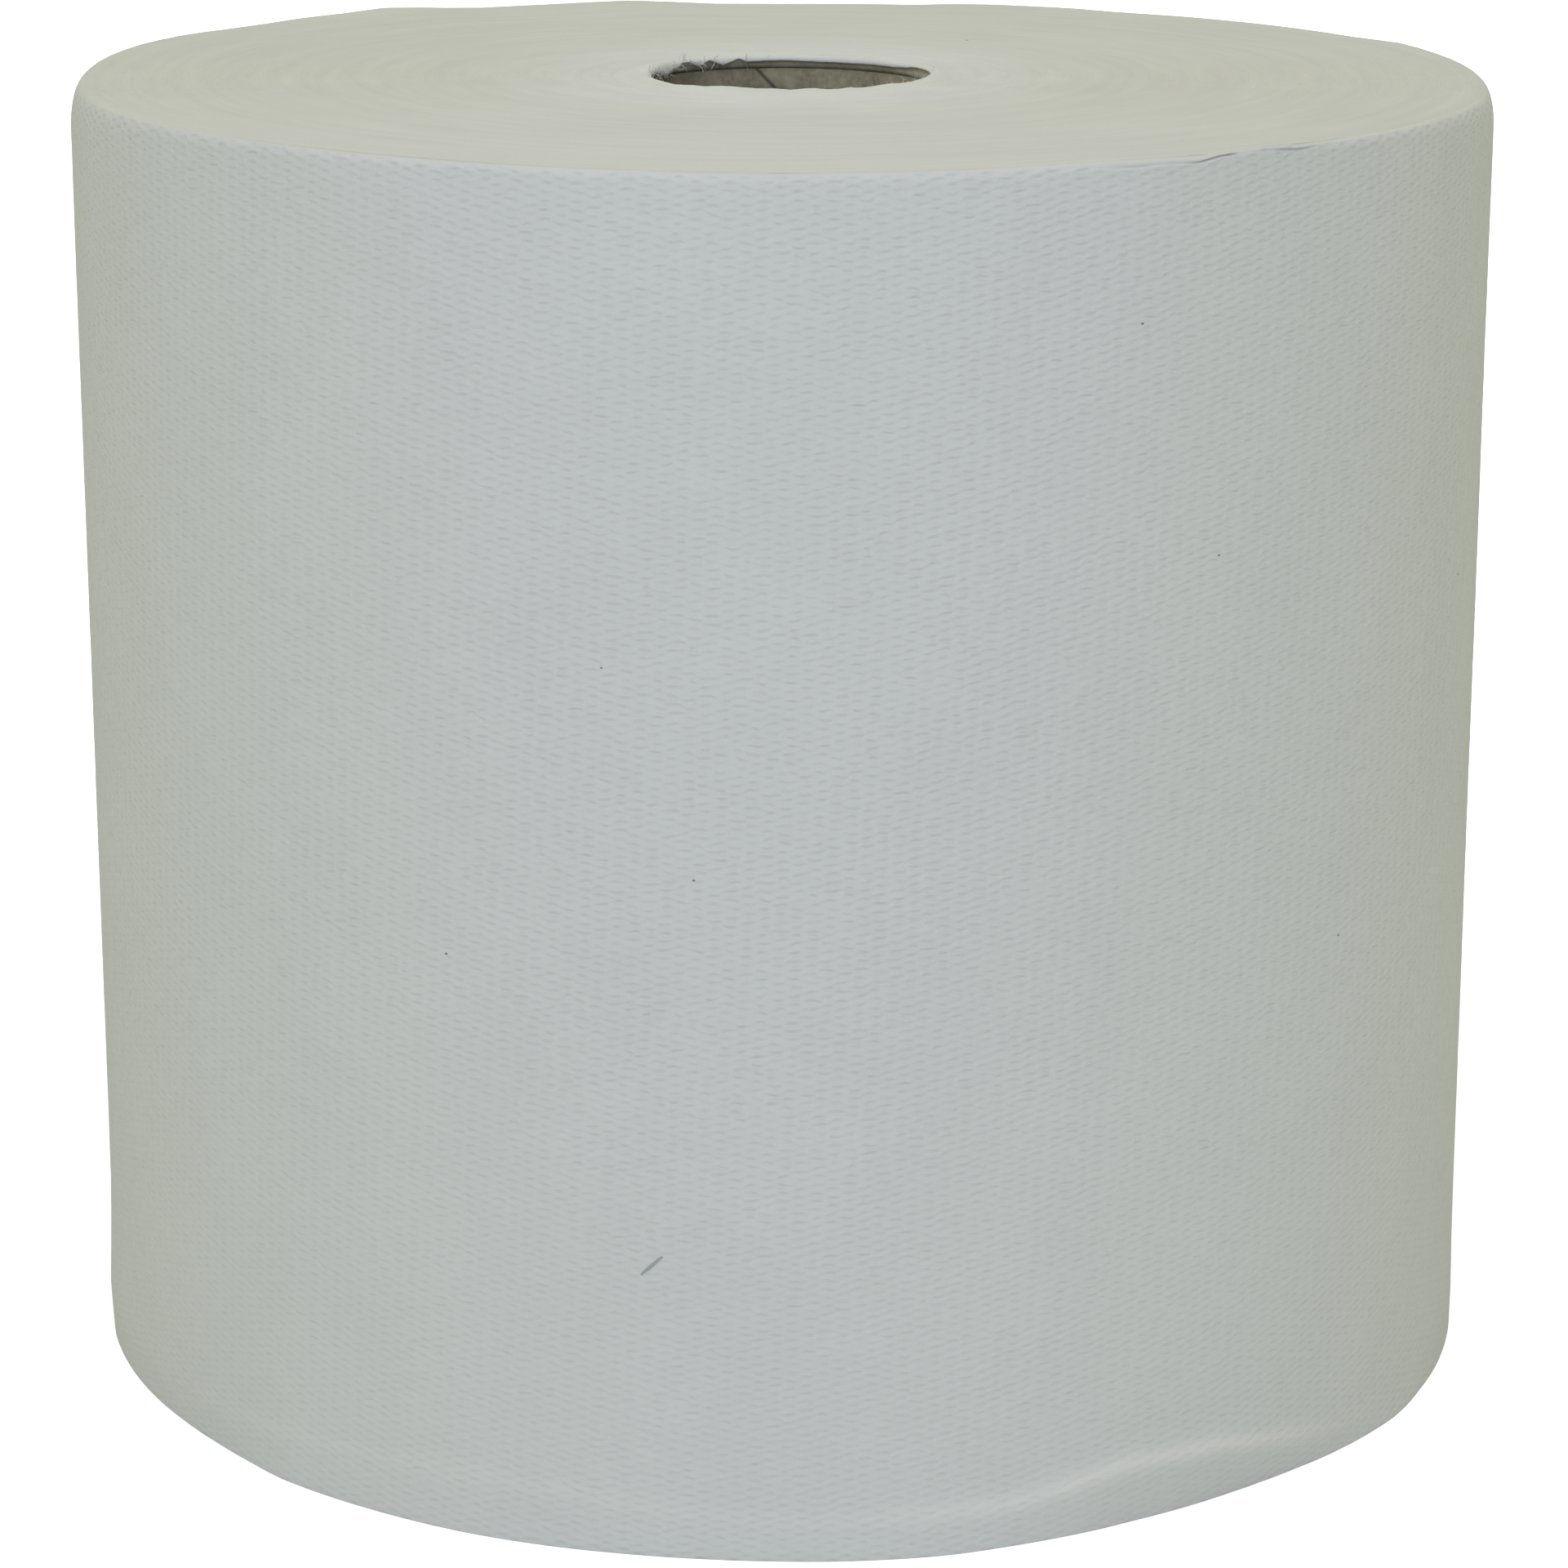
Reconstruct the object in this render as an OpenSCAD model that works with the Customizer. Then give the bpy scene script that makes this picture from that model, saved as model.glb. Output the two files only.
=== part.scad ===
// A roll of cleaning wipers that stands on its end: one long web of soft nonwoven cloth, wound tight
// on a cardboard core. The origin is the middle of the face that the roll stands on.
// The web is a true spiral. Each turn is two half turns, drawn about two centres that lie half of the
// turn's growth apart, so that the end of one half meets the start of the next.

/* [Web] */
// Outer diameter of the full roll
roll_od = 372; // [300:2:420]
// Width of the web, which is the height of the standing roll
web_w = 340; // [200:5:400]
// Thickness of one turn as it lies in the roll
web_t = 0.54; // [0.4:0.02:0.7]

/* [Outer rims] */
// How far the upper rim is rounded inwards
upper_rim_in = 2; // [1:0.5:5]
// Height of the rounding of the upper rim
upper_rim_h = 4; // [1:0.5:6]
// How far the lower rim is drawn in under the roll
lower_rim_in = 1; // [0.5:0.5:6]
// Height over which the lower rim is drawn in
lower_rim_h = 2; // [1:0.5:14]

/* [Turns on the two ends] */
// Number of turns that lie level with each other and show as one band
turns_per_band = 12; // [8:1:16]
// Width of the shallow valley between two bands
valley_w = 1.8; // [0.8:0.1:2.2]
// Depth of the valley
valley_d = 0.5; // [0.2:0.1:0.8]

/* [Lip round the hole] */
// Width of the ring of loose inner turns outside the core
lip_w = 3; // [2:0.5:6]
// Rise of these turns above the upper end
lip_rise = 0.7; // [0.3:0.1:2]
// Depth over which they roll over into the hole
lip_drop = 1.5; // [1:0.1:2]
// Gap from the core's inner wall line out to where they end
lip_gap = 0.4; // [0.2:0.1:1]

/* [Core] */
// Inner diameter of the core
core_bore_d = 76; // [60:1:90]
// Wall of the core
core_wall = 4; // [3:0.5:8]
// Depth of the core's ends below the ends of the web
core_recess = 3; // [2.5:0.5:8]
// Worn bevel on the outer edges of the core
core_bevel = 0.6; // [0.2:0.1:1]
// Gap all round between the core and the web that is wound on it
core_gap = 0.1; // [0.05:0.05:0.2]

/* [Hidden] */
$fn = 96;

web_color = [0.74, 0.76, 0.73];
core_color = [0.50, 0.47, 0.43];

// How far a cutting shape reaches past the face that it cuts
over = 0.3;
// Steps in the quarter of a rounded rim
rim_steps = 6;
// Direction of the free edge of the outer turn, seen from above: at the back
tail_turn = 90;

outer_r = roll_od / 2;
core_r = core_bore_d / 2;
core_outer_r = core_r + core_wall;
core_low = core_recess;
core_high = web_w - core_recess;
seat_r = core_outer_r + core_gap;
hole_r = core_r + lip_gap;
lip_r = seat_r + lip_w;
crest_r = (hole_r + lip_r) / 2;
lip_half_w = (lip_r - hole_r) / 2;
// Inner radius of the blanks, inside the hole that is cut last, and the height of the cut
blank_r = hole_r / 2;
lip_top = web_w + lip_rise + over;

// Growth of the spiral over one band, and the lowest radius of its first valley
band_p = turns_per_band * web_t;
first_valley_r = lip_r + band_p;
// The last valley ends its turn on the flat of both ends, inside the rounded rims
last_valley_r = outer_r - max(upper_rim_in, lower_rim_in) - band_p - valley_w;
last_valley = floor((last_valley_r - first_valley_r) / band_p);

// Points of a quarter of an ellipse about c with half widths a, from angle a0 to angle a1
function quarter(c, a, a0, a1) = [for (i = [0:rim_steps]) let (t = a0 + (a1 - a0) * i / rim_steps)
    [c[0] + a[0] * cos(t), c[1] + a[1] * sin(t)]];

// Points of the valley about radius r, outwards, in a face at height z. Side is 1 if the cloth lies above.
function valley(r, z, side) = let (w = valley_w / 2 * (1 + over / valley_d))
    [[r - w, z - side * over], [r, z + side * valley_d], [r + w, z - side * over]];

// Points in the opposite order
function back(points) = [for (i = [len(points) - 1:-1:0]) points[i]];

// All valleys of one half turn, outwards from the valley about radius r
function valleys(r, z, side) = [for (k = [0:last_valley]) each valley(r + k * band_p, z, side)];

// Half turn of the bands and valleys, on a blank that reaches past the roll on every side
module band_half(first_r) {
    far_r = outer_r + band_p;
    inner_r = first_r - band_p / 2;
    rotate_extrude(angle = 180)
        polygon(concat(
            [[blank_r, -over]],
            valleys(first_r, 0, 1),
            [[far_r, -over], [far_r, web_w + over]],
            back(valleys(first_r, web_w, -1)),
            [[inner_r, web_w + over], [inner_r, lip_top], [blank_r, lip_top]]
        ));
}

// Half of the outer shape with its rounded rims
module outline_half(r) {
    blank_top = lip_top - over / 2;
    rotate_extrude(angle = 180)
        polygon(concat(
            [[blank_r, 0]],
            quarter([r - lower_rim_in, lower_rim_h], [lower_rim_in, lower_rim_h], -90, 0),
            quarter([r - upper_rim_in, web_w - upper_rim_h], [upper_rim_in, upper_rim_h], 0, 90),
            [[lip_r, web_w], [lip_r, blank_top], [blank_r, blank_top]]
        ));
}

// Half turn of the web. Its outer face is drawn about one centre and its bands about another.
module web_half(outer_centre, r, first_r) {
    intersection() {
        translate([outer_centre, 0, 0]) outline_half(r);
        translate([-band_p / 4, 0, 0]) band_half(first_r);
    }
}

// Space for the core, with the hole at each end and the rounded lip of turns that lean over the core
module core_space() {
    rotate_extrude()
        polygon(concat(
            [[0, -over]],
            back(quarter([hole_r + lip_half_w, lip_drop], [lip_half_w, lip_drop + over], 180, 270)),
            [[hole_r, core_low - core_gap], [seat_r, core_low - core_gap]],
            [[seat_r, core_high + core_gap], [hole_r, core_high + core_gap]],
            quarter([crest_r, web_w - lip_drop], [lip_half_w, lip_drop + lip_rise], 180, 90),
            quarter([crest_r, web_w - valley_d], [lip_half_w, valley_d + lip_rise], 90, 0),
            [[lip_r + valley_w, lip_top], [0, lip_top]]
        ));
}

module wiper_roll() {
    color(web_color)
        rotate([0, 0, tail_turn])
            difference() {
                union() {
                    web_half(-web_t / 2, outer_r - web_t / 2, first_valley_r);
                    rotate([0, 0, 180]) web_half(0, outer_r, first_valley_r + band_p / 2);
                }
                core_space();
            }
}

module core() {
    color(core_color)
        rotate_extrude()
            polygon([
                [core_r, core_low], [core_outer_r - core_bevel, core_low],
                [core_outer_r, core_low + core_bevel], [core_outer_r, core_high - core_bevel],
                [core_outer_r - core_bevel, core_high], [core_r, core_high]
            ]);
}

wiper_roll();
core();
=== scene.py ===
import math

import bmesh
import bpy
import numpy as np
from mathutils import Matrix, Vector, noise


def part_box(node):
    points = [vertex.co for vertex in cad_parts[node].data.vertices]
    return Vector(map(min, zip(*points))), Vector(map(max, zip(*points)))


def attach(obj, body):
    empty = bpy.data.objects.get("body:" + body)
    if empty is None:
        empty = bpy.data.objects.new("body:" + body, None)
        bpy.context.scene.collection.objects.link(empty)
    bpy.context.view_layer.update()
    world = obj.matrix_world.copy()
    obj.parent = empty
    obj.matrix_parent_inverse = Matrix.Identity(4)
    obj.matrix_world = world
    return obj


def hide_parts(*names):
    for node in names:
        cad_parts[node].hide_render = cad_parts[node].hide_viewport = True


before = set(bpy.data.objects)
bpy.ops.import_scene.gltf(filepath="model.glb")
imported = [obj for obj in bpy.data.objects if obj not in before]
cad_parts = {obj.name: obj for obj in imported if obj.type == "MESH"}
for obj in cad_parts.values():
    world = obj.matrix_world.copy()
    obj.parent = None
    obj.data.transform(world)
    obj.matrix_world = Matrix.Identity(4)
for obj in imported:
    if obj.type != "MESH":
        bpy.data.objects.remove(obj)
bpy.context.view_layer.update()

mm = 0.001
coreLow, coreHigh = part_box("core")
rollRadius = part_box("wiper_roll")[1].y
webHeight = coreLow.z + coreHigh.z  # the core's ends lie equally deep below both ends of the web
coreRecess = coreLow.z
coreOuter = coreHigh.x
print("frame loaded, roll radius %.1f mm, web width %.1f mm" % (rollRadius / mm, webHeight / mm))

# Angles go round the roll from the front, phi = 0 at -Y, to the right. The free edge is at +-pi, at the back.


def onWall(phi, radius, z):
    return (radius * math.sin(phi), -radius * math.cos(phi), z)


def hill(x, centre, width):  # a smooth hill of height 1
    return np.exp(-((x - centre) / width) ** 2)


def addObject(name, data):
    piece = bpy.data.objects.new(name, data)
    bpy.context.scene.collection.objects.link(piece)
    return piece


def addValues(mesh, name, values):
    layer = mesh.attributes.new(name, "FLOAT", "POINT")
    layer.data.foreach_set("value", np.asarray(values, np.float32).reshape(-1))


def finishPiece(piece, slotName, *nodes):
    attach(piece, "root")
    if nodes:
        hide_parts(*nodes)
    return piece


# Small helpers for node trees

def newGroup(name, kind, inputs, outputs):
    tree = bpy.data.node_groups.new(name, kind)
    for label, socketType, value in inputs:
        socket = tree.interface.new_socket(label, in_out="INPUT", socket_type=socketType)
        if value is not None:
            socket.default_value = value
    for label, socketType in outputs:
        tree.interface.new_socket(label, in_out="OUTPUT", socket_type=socketType)
    return tree, tree.nodes.new("NodeGroupInput"), tree.nodes.new("NodeGroupOutput")


def addNode(tree, kind, settings=None, **inputs):
    node = tree.nodes.new(kind)
    for key, value in (settings or {}).items():
        setattr(node, key, value)
    for key, value in inputs.items():
        plug(tree, node.inputs[key.replace("_", " ")], value)
    return node


def plug(tree, socket, value):
    if isinstance(value, bpy.types.NodeSocket):
        tree.links.new(value, socket)
    else:
        socket.default_value = value


def maths(tree, operation, *values):
    node = tree.nodes.new("ShaderNodeMath")
    node.operation = operation
    for socket, value in zip(node.inputs, values):
        plug(tree, socket, value)
    return node.outputs[0]


def vectorMaths(tree, operation, *values):
    node = tree.nodes.new("ShaderNodeVectorMath")
    node.operation = operation
    for socket, value in zip(node.inputs, values):
        plug(tree, socket, value)
    return node.outputs["Value"] if operation in ("LENGTH", "DOT_PRODUCT") else node.outputs[0]


def combine(tree, x, y, z):
    node = tree.nodes.new("ShaderNodeCombineXYZ")
    for socket, value in zip(node.inputs, (x, y, z)):
        plug(tree, socket, value)
    return node.outputs[0]


def separate(tree, vector):
    node = tree.nodes.new("ShaderNodeSeparateXYZ")
    plug(tree, node.inputs[0], vector)
    return node.outputs


def mapRange(tree, value, fromLow, fromHigh, toLow=0.0, toHigh=1.0, interpolation="LINEAR"):
    node = addNode(tree, "ShaderNodeMapRange", {"interpolation_type": interpolation}, Value=value,
                   From_Min=fromLow, From_Max=fromHigh, To_Min=toLow, To_Max=toHigh)
    return node.outputs[0]


def mixColors(tree, share, first, second, blend="MIX"):
    node = addNode(tree, "ShaderNodeMix", {"data_type": "RGBA", "blend_type": blend})
    for k, value in ((0, share), (6, first), (7, second)):
        plug(tree, node.inputs[k], value)
    return node.outputs[2]


def shaded(tree, color, value):  # the colour times one number
    return mixColors(tree, 1.0, color, combine(tree, value, value, value), "MULTIPLY")


def alongTurns(tree, position, angular, radial):
    # a noise place that changes fast outwards and slowly round the roll, with no seam
    x, y, z = separate(tree, position)
    radius = vectorMaths(tree, "LENGTH", combine(tree, x, y, 0.0))
    safe = maths(tree, "MAXIMUM", radius, 1e-4)
    east = maths(tree, "MULTIPLY", maths(tree, "DIVIDE", x, safe), angular)
    north = maths(tree, "MULTIPLY", maths(tree, "DIVIDE", y, safe), angular)
    return combine(tree, east, north, maths(tree, "MULTIPLY", radius, radial))


def runNodes(piece, tree, values):
    # sets the inputs by identifier, bakes the result to a plain mesh and drops the modifier
    modifier = piece.modifiers.new(tree.name, "NODES")
    modifier.node_group = tree
    for item in tree.interface.items_tree:
        if item.item_type == "SOCKET" and item.in_out == "INPUT" and item.name in values:
            modifier[item.identifier] = values[item.name]
    bpy.context.view_layer.update()
    depsgraph = bpy.context.evaluated_depsgraph_get()
    mesh = bpy.data.meshes.new_from_object(piece.evaluated_get(depsgraph), depsgraph=depsgraph)
    piece.modifiers.remove(modifier)
    made = addObject(piece.name + "Made", mesh)
    name = piece.name
    bpy.data.objects.remove(piece)
    made.name = name
    mesh.name = name
    return made


# Shader groups that more than one material uses

def makeFibreMottle():
    tree, start, end = newGroup("fibreMottle", "ShaderNodeTree", [
        ("Vector", "NodeSocketVector", None),
        ("Fibre scale", "NodeSocketFloat", 900.0),
        ("Cloud scale", "NodeSocketFloat", 28.0),
        ("Dark", "NodeSocketColor", (0.6, 0.6, 0.6, 1)),
        ("Light", "NodeSocketColor", (0.7, 0.7, 0.7, 1))],
        [("Color", "NodeSocketColor"), ("Height", "NodeSocketFloat")])
    fine = addNode(tree, "ShaderNodeTexNoise", Vector=start.outputs["Vector"],
                   Scale=start.outputs["Fibre scale"], Detail=3.0, Roughness=0.6)
    cloud = addNode(tree, "ShaderNodeTexNoise", Vector=start.outputs["Vector"],
                    Scale=start.outputs["Cloud scale"], Detail=4.0, Roughness=0.55)
    both = maths(tree, "ADD", maths(tree, "MULTIPLY", fine.outputs[0], 0.45),
                 maths(tree, "MULTIPLY", cloud.outputs[0], 0.55))
    spread = mapRange(tree, both, 0.32, 0.68)
    plug(tree, end.inputs["Color"], mixColors(tree, spread, start.outputs["Dark"], start.outputs["Light"]))
    plug(tree, end.inputs["Height"], fine.outputs[0])
    return tree


def makeTurnStreaks():
    tree, start, end = newGroup("turnStreaks", "ShaderNodeTree", [
        ("Vector", "NodeSocketVector", None),
        ("Angular", "NodeSocketFloat", 3.0),
        ("Radial", "NodeSocketFloat", 700.0)],
        [("Value", "NodeSocketFloat")])
    place = alongTurns(tree, start.outputs["Vector"], start.outputs["Angular"], start.outputs["Radial"])
    streak = addNode(tree, "ShaderNodeTexNoise", Vector=place, Scale=1.0, Detail=3.0, Roughness=0.6)
    plug(tree, end.inputs["Value"], streak.outputs[0])
    return tree


def makeCrossedRows():
    # two sets of slanted rows cross at a small angle and come and go, which leaves short broken dashes
    tree, start, end = newGroup("crossedRows", "ShaderNodeTree", [
        ("Vector", "NodeSocketVector", None),
        ("Row pitch", "NodeSocketFloat", 2.15 * mm),
        ("Dash pitch", "NodeSocketFloat", 7.84 * mm),
        ("Lean", "NodeSocketFloat", 0.047),
        ("Waver", "NodeSocketFloat", 0.9),
        ("Pucker", "NodeSocketFloat", 0.5)],
        [("Height", "NodeSocketFloat")])
    along, up, unused = separate(tree, start.outputs["Vector"])
    leaned = maths(tree, "SUBTRACT", along, maths(tree, "MULTIPLY", up, start.outputs["Lean"]))
    level = maths(tree, "DIVIDE", up, start.outputs["Row pitch"])
    slant = maths(tree, "DIVIDE", leaned, start.outputs["Dash pitch"])
    shaky = addNode(tree, "ShaderNodeTexNoise", Vector=start.outputs["Vector"], Scale=250.0, Detail=2.0)
    wear = addNode(tree, "ShaderNodeTexNoise", Vector=start.outputs["Vector"], Scale=210.0, Detail=2.0)
    both = None
    for k, operation in enumerate(("ADD", "SUBTRACT")):
        sway = maths(tree, "SUBTRACT", separate(tree, shaky.outputs["Color"])[k], 0.5)
        turns = maths(tree, "MULTIPLY_ADD", sway, start.outputs["Waver"], maths(tree, operation, level, slant))
        rows = maths(tree, "COSINE", maths(tree, "MULTIPLY", turns, 2 * math.pi))
        strength = maths(tree, "MULTIPLY_ADD", separate(tree, wear.outputs["Color"])[k], 1.2, 0.0)
        strength = maths(tree, "MINIMUM", maths(tree, "MAXIMUM", strength, 0.0), 1.0)
        rows = maths(tree, "MULTIPLY", rows, strength)
        both = rows if both is None else maths(tree, "ADD", both, rows)
    ridges = maths(tree, "MAXIMUM", both, -1.2)
    wide = combine(tree, maths(tree, "MULTIPLY", along, 0.6), up, 0.0)
    pucker = addNode(tree, "ShaderNodeTexNoise", Vector=wide, Scale=260.0, Detail=4.0, Roughness=0.62)
    soft = maths(tree, "MULTIPLY", maths(tree, "SUBTRACT", pucker.outputs[0], 0.5), start.outputs["Pucker"])
    height = maths(tree, "ADD", maths(tree, "MULTIPLY_ADD", ridges, 0.5, 0.5), soft)
    plug(tree, end.inputs["Height"], height)
    return tree


fibreMottle = makeFibreMottle()
turnStreaks = makeTurnStreaks()
crossedRows = makeCrossedRows()
print("shader groups made")


def startMaterial(name, roughness, sheen):
    material = bpy.data.materials.new(name)
    material.use_nodes = True
    tree = material.node_tree
    shader = tree.nodes["Principled BSDF"]
    shader.inputs["Roughness"].default_value = roughness
    shader.inputs["Specular IOR Level"].default_value = 0.15
    shader.inputs["Sheen Weight"].default_value = sheen
    shader.inputs["Sheen Roughness"].default_value = 0.6
    return material, tree, shader


def useGroup(tree, group, **inputs):
    node = tree.nodes.new("ShaderNodeGroup")
    node.node_tree = group
    for key, value in inputs.items():
        plug(tree, node.inputs[key.replace("_", " ")], value)
    return node


webFinish = {
    "light": (0.506, 0.519, 0.498, 1),
    "dark": (0.485, 0.497, 0.477, 1),
    "endLight": (0.516, 0.526, 0.486, 1),
    "endDark": (0.488, 0.498, 0.459, 1),
    "looseLight": (0.560, 0.572, 0.552, 1),
    "looseDark": (0.524, 0.534, 0.516, 1),
    "underHemLight": (0.80, 0.76, 0.59, 1),  # a brown, paler than the core's, for the rows under the hem and against the core
    "underHemDark": (0.48, 0.455, 0.355, 1),
    "looseReach": (45.0 * mm, 96.0 * mm),  # the loose inner turns are paler, out to this radius
    # painted highlight: the paler colour laid on the crest of the tuck
    "paintedHighlight": (0.560, 0.562, 0.530, 1),
    "rowDepth": 0.25 * mm,
    "pressed": (0.72, 150.0 * mm),  # share of that depth at the foot, and the height with the full depth
    "pucker": 1.3,
    "fibreDepth": 0.05 * mm,
    "streakShade": (0.965, 1.035),
}


def makeWallMaterial():
    material, tree, shader = startMaterial("embossedCloth", 0.93, 0.08)
    uv = addNode(tree, "ShaderNodeUVMap", {"uv_map": "clothUV"}).outputs[0]
    place = addNode(tree, "ShaderNodeTexCoord").outputs["Object"]
    cloth = useGroup(tree, fibreMottle, Vector=place, Fibre_scale=700.0, Cloud_scale=30.0,
                     Dark=webFinish["dark"], Light=webFinish["light"])
    rows = useGroup(tree, crossedRows, Vector=uv, Pucker=webFinish["pucker"])
    mask = addNode(tree, "ShaderNodeAttribute", {"attribute_name": "wallMask"}).outputs["Fac"]
    onWallOnly = maths(tree, "MINIMUM", maths(tree, "MULTIPLY", mask, 3.0), 1.0)
    height = maths(tree, "MULTIPLY", rows.outputs[0], onWallOnly)
    strength, full = webFinish["pressed"]
    height = maths(tree, "MULTIPLY", height, mapRange(tree, separate(tree, place)[2], 0.0, full, strength))
    rowBump = addNode(tree, "ShaderNodeBump", Height=height, Distance=webFinish["rowDepth"])
    fibreBump = addNode(tree, "ShaderNodeBump", Height=cloth.outputs["Height"],
                        Distance=webFinish["fibreDepth"], Normal=rowBump.outputs[0])
    # the crest of the tuck is mixed towards a paler colour, a painted highlight
    crest = addNode(tree, "ShaderNodeAttribute", {"attribute_name": "paintedHighlight"}).outputs["Fac"]
    plug(tree, shader.inputs["Base Color"], mixColors(tree, crest, cloth.outputs["Color"], webFinish["paintedHighlight"]))
    plug(tree, shader.inputs["Normal"], fibreBump.outputs[0])
    return material


def makeEndMaterial():
    material, tree, shader = startMaterial("turnEdges", 0.95, 0.08)
    place = addNode(tree, "ShaderNodeTexCoord").outputs["Object"]
    cut = useGroup(tree, fibreMottle, Vector=place, Fibre_scale=900.0, Cloud_scale=24.0,
                   Dark=webFinish["endDark"], Light=webFinish["endLight"])
    loose = useGroup(tree, fibreMottle, Vector=place, Fibre_scale=700.0, Cloud_scale=60.0,
                     Dark=webFinish["looseDark"], Light=webFinish["looseLight"])
    streak = useGroup(tree, turnStreaks, Vector=place, Angular=2.2, Radial=260.0)
    x, y, z = separate(tree, place)
    radius = vectorMaths(tree, "LENGTH", combine(tree, x, y, 0.0))
    near, far = webFinish["looseReach"]
    inwards = mapRange(tree, radius, far, near, interpolation="SMOOTHSTEP")
    pale = mixColors(tree, inwards, cut.outputs["Color"], loose.outputs["Color"])
    shade = mapRange(tree, streak.outputs[0], 0.3, 0.7, *webFinish["streakShade"])
    bump = addNode(tree, "ShaderNodeBump", Height=cut.outputs["Height"], Distance=webFinish["fibreDepth"])
    plug(tree, shader.inputs["Base Color"], shaded(tree, pale, shade))
    plug(tree, shader.inputs["Normal"], bump.outputs[0])
    return material


def makePlainMaterial(name, roughness, sheen, fibreScale, cloudScale, dark, light):
    material, tree, shader = startMaterial(name, roughness, sheen)
    place = addNode(tree, "ShaderNodeTexCoord").outputs["Object"]
    cloth = useGroup(tree, fibreMottle, Vector=place, Fibre_scale=fibreScale, Cloud_scale=cloudScale,
                     Dark=dark, Light=light)
    plug(tree, shader.inputs["Base Color"], cloth.outputs["Color"])
    return material


wallMaterial = makeWallMaterial()
endMaterial = makeEndMaterial()
# the brown finish for the rows under the hem and against the core
underHemMaterial = makePlainMaterial("underHemCloth", 0.95, 0.0, 620.0, 150.0,
                                  webFinish["underHemDark"], webFinish["underHemLight"])


# The wound web: one closed shape of revolution, with the places where it isn't round

web = {
    "columns": 420,
    "wallRows": 56,
    "swell": 0.25 * mm,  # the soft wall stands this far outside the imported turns
    "turnThickness": 0.54 * mm,
    "valleyDepth": 0.09 * mm,  # the cut edges of the turns stand this high above the plain end
    "lipOuter": coreOuter + 3.1 * mm,
    "lipWide": 1.7 * mm,  # from the lip's crest in to its hem
    "hemThickness": 0.6 * mm,
    "hole": 38.4 * mm,  # radius of the hole in the lower end
    "underHemRows": 8,  # the last rows, under the hem and against the core, have the brown finish
    "coreGap": 0.1 * mm,
    "unevenness": 0.15 * mm,
    "wrinkle": 0.05 * mm,
    "tailLift": 0.25 * mm,
    "tailDrift": 1.5 * mm,
    "tailReach": (0.12, 0.07),  # angles from the free edge in which it wanders and lifts
    "shiftFrom": 0.9,  # share of the height above which the uneven rim moves the wall
    "footSpread": 0.4 * mm,  # the sharp edge of the foot stands out a little
}
webCreases = [  # from (angle, height) to (angle, height), half width, depth: shallow folds of the outer turn
    ((-43.0, 322.0), (-25.0, 303.0), 2.6, 0.28),
    ((-44.0, 312.0), (-31.0, 299.0), 2.2, 0.16),
    ((-36.0, 326.0), (-22.0, 312.0), 2.4, -0.18),
    ((7.0, 226.0), (24.0, 230.0), 2.0, 0.16),
    ((33.8, 324.0), (37.2, 331.0), 1.3, 0.30),
    ((30.0, 333.0), (48.0, 318.0), 3.0, 0.20),
    ((29.0, 329.0), (36.0, 324.0), 2.0, 0.22),
    ((38.0, 330.0), (47.0, 326.0), 1.8, 0.20),
    ((24.0, 322.0), (33.0, 327.5), 2.4, 0.16),
]
# Shape of the two rims round the roll, measured: angle in degrees, then mm
rimLine = [(-180, -1.15), (-173, -0.9), (-169.5, -0.1), (-165.7, 0.6), (-158, 0.25), (-150, 0.26),
           (-145.4, 1.45), (-141, 2.3), (-136.5, 1.73), (-131.7, 1.6), (-126.6, 1.25), (-121, 1.36),
           (-114.8, 1.9), (-107.4, 2.2), (-97.3, 2.0), (-85, 1.5), (-60, 1.0), (-45, 0.85),
           (-30, 0.7), (-15, 0.3), (0, -0.15), (14, 0.1), (24, 0.6), (28, 0.4), (32, 0.2),
           (36, 0.5), (39, 0.6), (43, 0.3), (46, 0.15), (60, 0.1), (75, -0.4), (90, 0.2),
           (103, 0.5), (111, 0.75), (118, -0.15), (140, -0.3), (147.5, -0.5), (152, -0.15),
           (160, -0.13), (164, -0.41), (167.6, -0.97), (180, -1.15)]
rimInward = [(-180, 1.6), (-130, 2.0), (-110, 3.4), (-90, 4.2), (-75, 3.4), (-60, 2.1), (-40, 1.6),
             (50, 1.6), (65, 1.9), (75, 2.6), (90, 3.5), (110, 3.0), (130, 2.0), (180, 1.6)]
rimDown = [(-180, 3.0), (-130, 5.0), (-110, 11.0), (-90, 14.0), (-75, 10.5), (-60, 5.0), (-45, 3.0),
           (-25, 2.6), (0, 3.0), (25, 2.6), (50, 2.4), (65, 4.0), (75, 8.0), (90, 13.0),
           (110, 10.0), (130, 5.0), (180, 3.0)]
footReach = [(-180, 185.9), (-77.6, 185.9), (-65, 185.1), (-58, 184.7), (-52.5, 184.8),
             (-47.5, 185.4), (-43, 186.5), (-33, 186.5), (-25, 186.95), (-18, 186.7), (-13, 186.4),
             (-5.7, 186.5), (0, 187.0), (4, 187.5), (9, 187.8), (12, 187.8), (14, 187.5),
             (16.8, 186.8), (19.5, 186.3), (25, 185.4), (28, 184.7), (31, 184.5), (38, 184.05),
             (41.5, 184.2), (45, 184.6), (49, 185.5), (54, 186.4), (59, 187.1), (62, 186.9),
             (66, 186.35), (75, 186.0), (180, 185.9)]
tuckLine = [(-180, 12), (-75, 12), (-60, 10), (-40, 14), (-22, 15.5), (-15, 14), (-5, 11), (4, 10),
            (8.8, 10.4), (17.7, 10.6), (22, 13), (27.1, 16), (36, 15.1), (43, 11), (49.3, 7),
            (60, 7), (75, 10), (90, 12), (180, 12)]
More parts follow.
